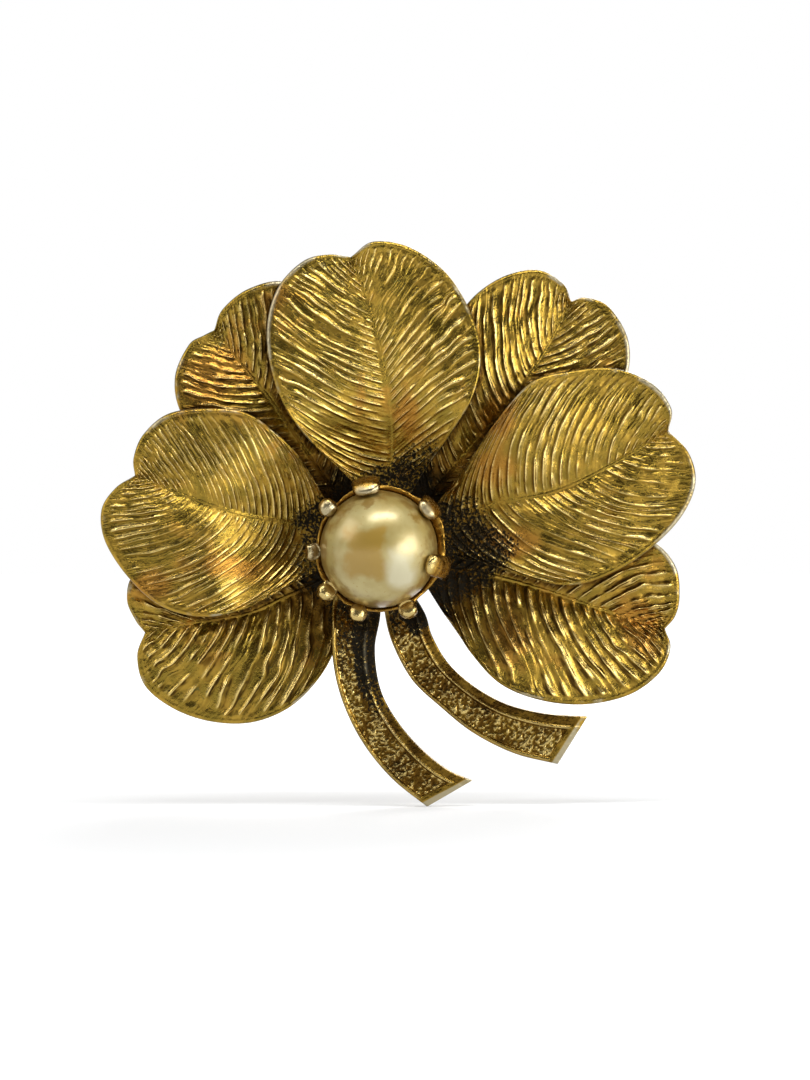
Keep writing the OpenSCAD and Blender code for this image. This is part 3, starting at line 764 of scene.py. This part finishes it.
def crown_piece():
    """Scalloped cup with eight claws, joined into one piece."""
    claw_angles = np.radians([claw[0] for claw in CLAWS])
    seat = PEARL_Z - PEARL_CUT

    def profile(angle):
        """(r, z) points from the hole, over the foot, wall and rim, to the seat and back."""
        gap = np.abs((claw_angles - angle + math.pi) % TURN - math.pi).min()
        wave = float(noise(9 * angle, 0, 1, 30))
        rim = PEARL_Z - RIM_BELOW - RIM_DIP * smooth(gap / DIP_W) + RIM_WAVE * wave
        aside = (angle - FLARE_AT + math.pi) % TURN - math.pi
        wall = CUP_R + FLARE * bell(aside, 0, FLARE_W) + WALL_WAVE * float(noise(7 * angle, 3, 1, 31))
        foot = [(CUP_HOLE, 0), (3.7, 0), (3.85, 0.05), (4.2, 0.5), (4.45, 1.0)]
        lip = [(wall - 0.04, -0.35), (wall, -0.12), (wall - 0.04, -0.03), (wall - 0.12, 0),
               (4.36, -0.04), (4.3, -0.2)]
        floor = [(4.1, 0.35), (3.95, 0), (1.45, 0), (1.45, -0.6), (CUP_HOLE, -0.6)]
        return ([(r, CROWN_Z + z) for r, z in foot] + [(r, rim + z) for r, z in lip]
                + [(r, seat + z) for r, z in floor])

    rings = []
    for angle in np.arange(CUP_TURNS) * TURN / CUP_TURNS:
        rings.append([(r * math.cos(angle), r * math.sin(angle), z) for r, z in profile(angle)])
    rings = np.array(rings + rings[:1])
    blank = np.zeros(rings.shape[:2])
    cup = skin(rings, {"grime": blank + 0.12, "deep": blank + 0.3, "copper": blank + 0.6})
    claws = [claw_skin(n, *claw) for n, claw in enumerate(CLAWS)]
    piece = piece_of("crown_setting_claws", [cup, *claws])
    stand_for(piece, "crown_setting", "brooch")
    return piece


def claw_skin(number, direction, reach, width, broad):
    """A claw that stands up from the cup: a broad one bends over the pearl, and a narrow one ends
    in a worn bead beside it."""
    kind = BROAD_CLAW if broad else BEADED_CLAW
    lean = math.radians(reach)
    over = PEARL_R + kind["clear"]
    tip = (over * math.cos(lean), PEARL_Z + over * math.sin(lean))
    shoulder = (kind["shoulder"][0], PEARL_Z + kind["shoulder"][1])
    bend = ((shoulder[0] + tip[0]) / 2 + 0.1, (shoulder[1] + tip[1]) / 2 + 0.12)
    path = spline([(4.45, PEARL_Z - 1.9), (4.66, PEARL_Z - 0.9), shoulder, bend, tip])
    f = np.linspace(0, 1, CLAW_ROWS)
    rz = along(path, f)
    step = np.gradient(rz, axis=0)
    step = step / np.linalg.norm(step, axis=-1)[:, None]
    outward = np.stack([step[:, 1], -step[:, 0]], axis=-1)
    to_tip = (1 - f) * path[0][-1]
    cap = np.sqrt(np.clip(1 - (1 - np.minimum(to_tip / kind["end"], 1)) ** 2, 0, 1))
    if broad:
        thick = 0.34 + 0.08 * smooth(to_tip / 0.8)
        wide = width / 2 * (0.8 + 0.2 * smooth(to_tip / 0.9))
    else:
        bead = smooth((1.25 - to_tip) / 0.5)
        thick = WIRE_R + (width / 2 - WIRE_R) * bead
        wide = WIRE_W + (width / 2 - WIRE_W) * bead
    turn = np.arange(CLAW_SIDES) * TURN / CLAW_SIDES
    side = np.sign(np.cos(turn)) * np.abs(np.cos(turn)) ** kind["square"]
    face = np.sign(np.sin(turn)) * np.abs(np.sin(turn)) ** kind["square"]
    lumps = 1 + CLAW_LUMPS * layered(f[:, None] * 11, turn[None, :] * 1.3, 1, 80 + number)
    dent = 0.0
    if direction == HOLLOW_CLAW:
        dent = 0.75 * bell(to_tip[:, None], 0.45, 0.24) * np.clip(np.sin(turn), 0, 1) ** 3
    across = (wide * cap)[:, None] * side * lumps
    deep = (thick * cap)[:, None] * face * lumps * (1 - dent)
    r = rz[:, None, 0] + outward[:, None, 0] * deep
    z = rz[:, None, 1] + outward[:, None, 1] * deep
    a = math.radians(direction)
    x, y = r * math.cos(a) - across * math.sin(a), r * math.sin(a) + across * math.cos(a)
    near = np.broadcast_to(smooth(1 - to_tip)[:, None], r.shape)
    bare = 1.0 if direction in BARE_CLAWS else 0.3
    marks = {
        "rim": bare * near * (1 - np.clip(2 * dent, 0, 1)), "bare": near, "crest": 0.5 * near,
        "grime": 0.25 * (1 - near), "copper": 0.7 * (1 - near),
        # Darker towards the cup, and painted shade in the broken bead's hollow
        "deep": np.clip(0.35 * (1 - near) + dent, 0, 1),
    }
    return skin(np.stack([x, y, z], axis=-1), marks, cap_start=True, cap_end=True)


def pearl_piece():
    """Button pearl: a ball, very slightly uneven, cut flat at the back."""
    rise = np.linspace(math.asin(-PEARL_CUT / PEARL_R), math.pi / 2, PEARL_RINGS)
    a = np.arange(PEARL_TURNS + 1) * TURN / PEARL_TURNS
    bumps = layered(np.cos(a)[:, None] * 3, 3 * np.sin(rise)[None, :], 1.1, 90)
    uneven = 1 - PEARL_UNEVEN * (1 + bumps)
    r = PEARL_R * uneven * np.cos(rise)
    z = PEARL_Z + PEARL_R * uneven * np.sin(rise)
    ball = np.stack([r * np.cos(a)[:, None], r * np.sin(a)[:, None], z], axis=-1)
    back = PEARL_Z - PEARL_CUT
    ball[:, 0, 2] = back
    centre = np.zeros((PEARL_TURNS + 1, 1, 3))
    centre[..., 2] = back
    rings = np.concatenate([centre, ball], axis=1)
    rings[-1] = rings[0]
    glue = spots(GLUE_SPOTS, rings[..., 0], rings[..., 1]) * (rings[..., 2] > PEARL_Z)
    piece = piece_of("pearl_button", [skin(rings, {"grime": glue})])
    stand_for(piece, "pearl", "brooch")
    return piece


# ------------------------------ materials

DEEP_GOLD = (0.43, 0.270, 0.042, 1)
BRIGHT_GOLD = (0.82, 0.62, 0.22, 1)
OLIVE = (0.24, 0.165, 0.025, 1)
COPPER = (0.45, 0.205, 0.036, 1)
PATINA = (0.012, 0.009, 0.004, 1)
AMBER = (0.11, 0.052, 0.007, 1)
VERDIGRIS = (0.06, 0.08, 0.03, 1)
BARE_METAL = (0.40, 0.35, 0.23, 1)

CREAM = (0.345, 0.262, 0.080, 1)
PALE_CREAM = (0.44, 0.36, 0.14, 1)
CREAM_SPECK = (0.36, 0.25, 0.07, 1)
# Colours of the painted reflection and the painted highlight on the pearl
REFLECTION_YELLOW = (0.33, 0.20, 0.025, 1)
HIGHLIGHT_PALE = (0.70, 0.69, 0.52, 1)
GIRDLE_BROWN = (0.22, 0.12, 0.02, 1)
GLUE_BROWN = (0.23, 0.13, 0.015, 1)

STEEL_DULL = (0.46, 0.42, 0.34, 1)
STEEL_PALE = (0.66, 0.62, 0.54, 1)
STEEL_SPECK = (0.20, 0.16, 0.10, 1)


class Nodes:
    """Short ways to add shader nodes to one material."""

    def __init__(self, name):
        self.material = bpy.data.materials.new(name)
        self.material.use_nodes = True
        self.tree = self.material.node_tree
        self.shader = self.tree.nodes["Principled BSDF"]
        self.place = self.add("TexCoord").outputs["Object"]

    def add(self, kind):
        return self.tree.nodes.new("ShaderNode" + kind)

    def put(self, value, socket):
        """Links another node's output to the socket, or sets the socket to a plain value."""
        if isinstance(value, bpy.types.NodeSocket):
            self.tree.links.new(value, socket)
        else:
            socket.default_value = value

    def set(self, name, value):
        self.put(value, self.shader.inputs[name])

    def mark(self, name):
        node = self.add("Attribute")
        node.attribute_name = name
        return node.outputs["Fac"]

    def math(self, kind, a, b=0.0):
        node = self.add("Math")
        node.operation = kind
        self.put(a, node.inputs[0])
        self.put(b, node.inputs[1])
        return node.outputs[0]

    def times(self, a, b):
        return self.math("MULTIPLY", a, b)

    def plus(self, a, b):
        return self.math("ADD", a, b)

    def minus(self, a, b):
        return self.math("SUBTRACT", a, b)

    def noise(self, size_mm, detail=3.0, rough=0.55):
        node = self.add("TexNoise")
        self.put(1 / (size_mm * MM), node.inputs["Scale"])
        self.put(detail, node.inputs["Detail"])
        self.put(rough, node.inputs["Roughness"])
        self.put(self.place, node.inputs["Vector"])
        return node.outputs["Fac"]

    def strokes(self, per_vein, per_width, detail):
        """Noise drawn out along the veins, by strokes to each vein and lengths across the leaf."""
        join = self.add("CombineXYZ")
        self.put(self.times(self.mark("row"), per_vein), join.inputs[0])
        self.put(self.times(self.mark("across"), per_width), join.inputs[1])
        node = self.add("TexNoise")
        self.put(1.0, node.inputs["Scale"])
        self.put(detail, node.inputs["Detail"])
        self.put(join.outputs[0], node.inputs["Vector"])
        return node.outputs["Fac"]

    def between(self, value, low, high, out_low=0.0, out_high=1.0):
        """Eases from out_low where value is low to out_high where it is high."""
        node = self.add("MapRange")
        node.interpolation_type = "SMOOTHSTEP"
        self.put(value, node.inputs["Value"])
        limits = {"From Min": low, "From Max": high, "To Min": out_low, "To Max": out_high}
        for socket, number in limits.items():
            self.put(number, node.inputs[socket])
        return node.outputs[0]

    def mix(self, share, a, b):
        node = self.add("Mix")
        node.data_type = "RGBA"
        self.put(share, node.inputs[0])
        self.put(a, node.inputs[6])
        self.put(b, node.inputs[7])
        return node.outputs[2]

    def bump(self, height, distance_mm, strength, under=None):
        node = self.add("Bump")
        self.put(strength, node.inputs["Strength"])
        self.put(distance_mm * MM, node.inputs["Distance"])
        self.put(height, node.inputs["Height"])
        if under is not None:
            self.put(under, node.inputs["Normal"])
        return node.outputs[0]


def antique_gold(name, tarnish, copper):
    """Gold plate with dark patina in the grooves and round the roots, painted shade under the front
    leaves, painted glints on the crests, and worn pale at the rims.
    Fine strokes follow the veins. tarnish is how dark the grooves get (0 to 1), and copper how
    much wider the reddish clouds are than on plain plate."""
    n = Nodes(name)
    crest, rim, grime, under = n.mark("crest"), n.mark("rim"), n.mark("grime"), n.mark("under")
    strokes = n.strokes(3.2, 9.0, 3.0)
    broad = n.noise(5.0, 2.0)
    cloud = n.noise(1.4, 4.0, 0.6)
    speck = n.noise(0.20, 3.0, 0.7)
    fine = n.noise(0.09, 2.0, 0.6)

    # Plate: olive and gold in clouds, bright crests and reddish places
    colour = n.mix(n.between(cloud, 0.35, 0.68), OLIVE, DEEP_GOLD)
    colour = n.mix(n.between(crest, 0.10, 0.75), colour, BRIGHT_GOLD)
    red = n.times(n.between(broad, 0.60 - copper, 0.74 - copper), n.between(cloud, 0.42, 0.60))
    colour = n.mix(n.times(red, 0.5), colour, COPPER)
    colour = n.mix(n.times(n.mark("copper"), 0.7), colour, COPPER)

    # Dirt in the grooves, and a little verdigris
    dirt = n.times(n.between(n.mark("groove"), 0.08, 0.62), n.between(strokes, 0.30, 0.62, 0.25, tarnish))
    colour = n.mix(dirt, colour, AMBER)
    colour = n.mix(n.between(dirt, 0.45, 0.85, 0.0, 0.65), colour, PATINA)
    green = n.times(n.between(n.noise(0.8, 3.0), 0.66, 0.74), n.between(speck, 0.45, 0.6))
    colour = n.mix(n.times(green, 0.7), colour, VERDIGRIS)

    # Patina round the roots, painted shade where rear leaves lie under front leaves, painted glints on the
    # crests in them, and soot in grains over both
    painted_shade_and_patina = n.times(n.mark("deep"), n.between(cloud, 0.25, 0.65, 1.0, 0.65))
    colour = n.mix(n.between(painted_shade_and_patina, 0.0, 0.7), colour, AMBER)
    colour = n.mix(n.between(painted_shade_and_patina, 0.45, 0.85, 0.0, 0.92), colour, PATINA)
    painted_glint = n.times(n.between(crest, 0.25, 0.8), n.between(speck, 0.42, 0.60))
    colour = n.mix(n.times(painted_glint, 0.75), colour, BRIGHT_GOLD)
    soot = n.between(n.plus(grime, n.between(speck, 0.30, 0.72, 0.55, -0.55)), 0.40, 0.75)
    soot = n.times(soot, n.between(grime, 0.02, 0.30))
    colour = n.mix(soot, colour, PATINA)

    # Rims worn to the bare metal, and dull backs
    patchy = n.plus(n.noise(2.2, 3.0), n.times(n.mark("bare"), 0.25))
    worn = n.times(rim, n.between(patchy, 0.50, 0.66))
    colour = n.mix(n.times(worn, 0.85), colour, BARE_METAL)
    colour = n.mix(n.times(under, 0.45), colour, OLIVE)

    rough = n.plus(n.between(cloud, 0.3, 0.7, 0.20, 0.32), n.times(soot, 0.25))
    rough = n.minus(rough, n.times(crest, 0.11))
    rough = n.plus(rough, n.times(worn, 0.08))
    rough = n.plus(rough, n.times(dirt, 0.2))
    n.set("Base Color", colour)
    n.set("Roughness", rough)
    n.set("Metallic", n.minus(1.0, n.times(soot, 0.4)))
    n.set("Specular IOR Level", 0.2)
    normal = n.bump(strokes, 0.06, 0.9)
    normal = n.bump(n.times(speck, n.plus(0.6, soot)), 0.07, 0.75, normal)
    n.set("Normal", n.bump(fine, 0.016, 0.6, normal))
    return n.material


def pearl_coat():
    """Aged imitation pearl: cream coat under a clear skin, with a painted reflection as a yellowed patch
    and a painted highlight as a pale one.
    """
    n = Nodes("pearl_coat")
    cloud = n.noise(2.2, 3.0, 0.5)
    speck = n.noise(0.25, 2.0, 0.6)
    apart = n.add("SeparateXYZ")
    n.put(n.place, apart.inputs[0])
    across, up = apart.outputs[0], n.plus(apart.outputs[2], PIN_RISE * MM)

    def patch(place, inside, outside, waver):
        """1 in a rectangle at place, which fades from inside to outside its wavering edges."""
        share = 1.0
        for position, middle, half in zip((across, up), *place):
            off = n.math("ABSOLUTE", n.minus(position, middle * MM))
            off = n.plus(off, n.between(cloud, 0.2, 0.8, -waver * MM, waver * MM))
            share = n.times(share, n.between(off, (half - inside) * MM, (half + outside) * MM, 1.0, 0.0))
        return share

    colour = n.mix(n.between(cloud, 0.35, 0.7), CREAM, PALE_CREAM)
    colour = n.mix(n.between(speck, 0.62, 0.75), colour, CREAM_SPECK)
    # Painted reflection as a darker yellow patch, and painted highlight as a pale patch
    colour = n.mix(n.times(patch(PAINTED_REFLECTION, 0.35, 0.25, 0.5), 0.9), colour, REFLECTION_YELLOW)
    colour = n.mix(n.times(patch(PAINTED_HIGHLIGHT, 0.5, 0.5, 0.4), 0.5), colour, HIGHLIGHT_PALE)
    radius = n.math("SQRT", n.plus(n.times(across, across), n.times(up, up)))
    radius = n.plus(radius, n.between(n.noise(0.9, 3.0), 0.2, 0.8, -0.5 * MM, 0.5 * MM))
    colour = n.mix(n.between(radius, GIRDLE[0] * MM, GIRDLE[1] * MM, 0.0, 0.85), colour, GIRDLE_BROWN)
    glue = n.plus(n.mark("grime"), n.between(n.noise(0.6, 3.0), 0.3, 0.7, -0.3, 0.3))
    colour = n.mix(n.times(n.between(glue, 0.35, 0.8), 0.8), colour, GLUE_BROWN)
    n.set("Base Color", colour)
    n.set("Metallic", 0.35)
    n.set("Roughness", 0.36)
    n.set("Coat Weight", 0.6)
    n.set("Coat Roughness", 0.22)
    n.set("Normal", n.bump(cloud, 0.03, 0.4))
    return n.material


def dull_steel():
    """Plated steel of the pin and its hinge and catch."""
    n = Nodes("dull_steel")
    cloud = n.noise(1.5, 3.0)
    speck = n.noise(0.2, 3.0, 0.6)
    colour = n.mix(n.between(cloud, 0.35, 0.7), STEEL_DULL, STEEL_PALE)
    colour = n.mix(n.between(speck, 0.62, 0.72), colour, STEEL_SPECK)
    n.set("Base Color", colour)
    n.set("Roughness", n.between(speck, 0.3, 0.7, 0.26, 0.46))
    n.set("Metallic", 1.0)
    n.set("Normal", n.bump(speck, 0.02, 0.4))
    return n.material


def coat(piece, material):
    piece.data.materials.clear()
    piece.data.materials.append(material)


def coat_node(node, material):
    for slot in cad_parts[node].material_slots:
        slot.material = material


# ------------------------------ stage

# The floor glows more from the first to the second distance, so that it runs out to white
FLOOR_GREY = (0.42, 0.42, 0.415, 1)
FLOOR_GLOW_RUN = (0.03, 0.20)
FLOOR_GLOW = (0.42, 0.95)

# What the metal reflects: dim ahead of the face and brighter all round, easing over between the
# two values of the direction's y
ROOM_AHEAD = (0.11, 0.10, 0.09, 1)
ROOM_ROUND = (0.34, 0.35, 0.37, 1)
ROOM_STEP = (-0.88, -0.55)

# Name, place and size in metres, power in watts and colour
LIGHTS = [
    ("sky_top", (0.04, -0.14, 0.33), (0.28, 0.08), 1.0, (0.97, 0.98, 1)),
    ("window_right", (0.27, -0.26, -0.005), (0.13, 0.14), 0.52, (0.95, 0.97, 1)),
    ("side_right", (0.30, -0.13, 0.05), (0.15, 0.15), 0.5, (1, 0.99, 0.96)),
    ("window_left", (-0.30, -0.10, 0.20), (0.22, 0.22), 0.5, (1, 0.98, 0.95)),
    ("back_fill", (0.10, 0.35, 0.18), (0.25, 0.20), 1.2, (1, 1, 1)),
]
LIT_POINT = (0, -0.008, -0.002)

# The camera: distance in metres from the front leaves, and in millimetres the width it sees there,
# the height of those leaves over their layer, and its aim right of and above the hub's middle
CAMERA_AWAY = 0.30
CAMERA_WIDTH = 59.13
CAMERA_LEAF = 1.5
CAMERA_AIM = (1.898, 0.657)
SENSOR_W = 36


def floor():
    bpy.ops.mesh.primitive_plane_add(size=4, location=(0, 0, cad_box[0][2]))
    plane = bpy.context.object
    plane.name = "floor"
    n = Nodes("pale_floor")
    n.set("Base Color", FLOOR_GREY)
    n.set("Roughness", 0.9)
    away = n.add("VectorMath")
    away.operation = "LENGTH"
    n.put(n.place, away.inputs[0])
    n.set("Emission Color", (1, 1, 1, 1))
    n.set("Emission Strength", n.between(away.outputs["Value"], *FLOOR_GLOW_RUN, *FLOOR_GLOW))
    plane.data.materials.append(n.material)


def room():
    """White behind the brooch, and a dim room for the metal to reflect."""
    world = bpy.data.worlds.new("studio")
    bpy.context.scene.world = world
    world.use_nodes = True
    tree = world.node_tree
    tree.nodes.clear()
    rays = tree.nodes.new("ShaderNodeLightPath")
    place = tree.nodes.new("ShaderNodeTexCoord")
    split = tree.nodes.new("ShaderNodeSeparateXYZ")
    ahead = tree.nodes.new("ShaderNodeMapRange")
    ahead.interpolation_type = "SMOOTHSTEP"
    ahead.inputs["From Min"].default_value, ahead.inputs["From Max"].default_value = ROOM_STEP
    ramp = tree.nodes.new("ShaderNodeValToRGB")
    ramp.color_ramp.elements[0].color = ROOM_AHEAD
    ramp.color_ramp.elements[1].color = ROOM_ROUND
    dim = tree.nodes.new("ShaderNodeBackground")
    white = tree.nodes.new("ShaderNodeBackground")
    white.inputs["Color"].default_value = (1, 1, 1, 1)
    choose = tree.nodes.new("ShaderNodeMixShader")
    out = tree.nodes.new("ShaderNodeOutputWorld")
    for start, end in (
        (place.outputs["Generated"], split.inputs[0]), (split.outputs["Y"], ahead.inputs["Value"]),
        (ahead.outputs[0], ramp.inputs[0]), (ramp.outputs["Color"], dim.inputs["Color"]),
        (rays.outputs["Is Camera Ray"], choose.inputs[0]), (dim.outputs[0], choose.inputs[1]),
        (white.outputs[0], choose.inputs[2]), (choose.outputs[0], out.inputs[0]),
    ):
        tree.links.new(start, end)


def area_light(name, place, size, power, colour):
    """A rectangular light that faces the middle of the brooch."""
    data = bpy.data.lights.new(name, "AREA")
    data.shape = "RECTANGLE"
    data.size, data.size_y = size
    data.energy = power
    data.color = colour
    light = add_object(name, data)
    light.location = place
    light.rotation_euler = (Vector(LIT_POINT) - Vector(place)).to_track_quat("-Z", "Y").to_euler()


def camera():
    """Looks straight at the face."""
    data = bpy.data.cameras.new("camera")
    data.sensor_fit = "HORIZONTAL"
    data.sensor_width = SENSOR_W
    data.lens = SENSOR_W * CAMERA_AWAY / (CAMERA_WIDTH * MM)
    data.clip_start = 0.01
    eye = add_object("camera", data)
    leaves_y = -(FRONT_Z + CAMERA_LEAF) - PIN_BACK
    eye.location = (CAMERA_AIM[0] * MM, leaves_y * MM - CAMERA_AWAY, (CAMERA_AIM[1] - PIN_RISE) * MM)
    eye.rotation_euler = (math.pi / 2, 0, 0)
    bpy.context.scene.camera = eye


# ------------------------------ build

leaf_gold = antique_gold("leaf_gold", 0.62, 0.02)
rear_gold = antique_gold("rear_gold", 0.85, 0.09)
stem_gold = antique_gold("stem_gold", 0.95, 0.0)
claw_gold = antique_gold("claw_gold", 0.5, -0.1)
plain_gold = antique_gold("plain_gold", 0.6, -0.05)
steel = dull_steel()

for leaf_name, leaf in LEAVES.items():
    coat(leaf_piece(leaf_name, leaf), leaf_gold if leaf["front"] else rear_gold)
for stem_name, stem in STEMS.items():
    coat(stem_piece(stem_name, stem), stem_gold)
coat(crown_piece(), claw_gold)
coat(pearl_piece(), pearl_coat())
for node in ("rear_hub", "front_hub", "centre_rivet", "pin_bar"):
    coat_node(node, plain_gold)
for node in ("hinge_bracket", "hinge_rivet", "pin_stem", "catch_housing", "catch_lock"):
    coat_node(node, steel)

floor()
room()
for light in LIGHTS:
    area_light(*light)
camera()
bpy.context.scene.view_settings.view_transform = "Standard"
